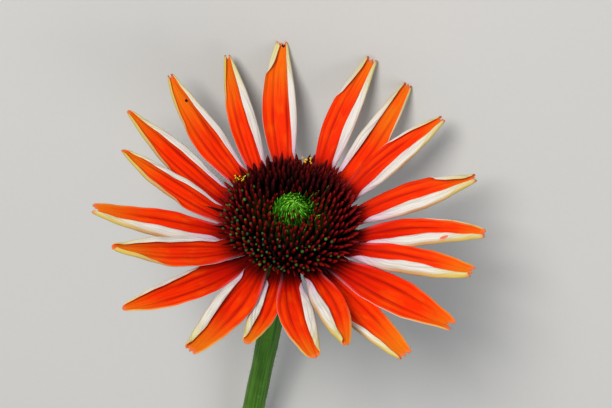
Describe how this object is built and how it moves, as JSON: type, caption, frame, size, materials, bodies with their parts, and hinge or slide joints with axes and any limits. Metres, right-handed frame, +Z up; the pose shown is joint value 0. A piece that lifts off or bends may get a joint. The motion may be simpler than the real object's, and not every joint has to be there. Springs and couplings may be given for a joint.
{
  "type": "coneflower",
  "caption": "Cut coneflower lying on its side: narrow ray petals with rolled margins round a spiny domed cone, leafy bracts below, on a bare curved stem.",
  "frame": {"origin": "on the surface that the flower lies on, under the middle of its bounding box", "axes": "+Z up, +Y from the head towards the cut end of the stem, +X to the left of the face as it is looked at upright"},
  "size_m": [0.0919, 0.1639, 0.0758],
  "materials": {
    "petal": "soft satin petal, vermilion face, pale margins",
    "cone": "dark maroon spines with redder tips",
    "heart": "lime green unopened florets",
    "stem": "matt green, finely hairy"
  },
  "bodies": {
    "root": {"stem": "stem", "cone": "cone", "cone_heart": "heart", "petal_01": "petal", "petal_02": "petal", "petal_03": "petal", "petal_04": "petal", "petal_05": "petal", "petal_06": "petal", "petal_07": "petal", "petal_08": "petal", "petal_09": "petal", "petal_10": "petal", "petal_11": "petal", "petal_12": "petal", "petal_13": "petal", "petal_14": "petal", "petal_15": "petal", "petal_16": "petal", "petal_17": "petal", "petal_18": "petal", "petal_19": "petal", "petal_20": "petal"}
  },
  "joints": []
}
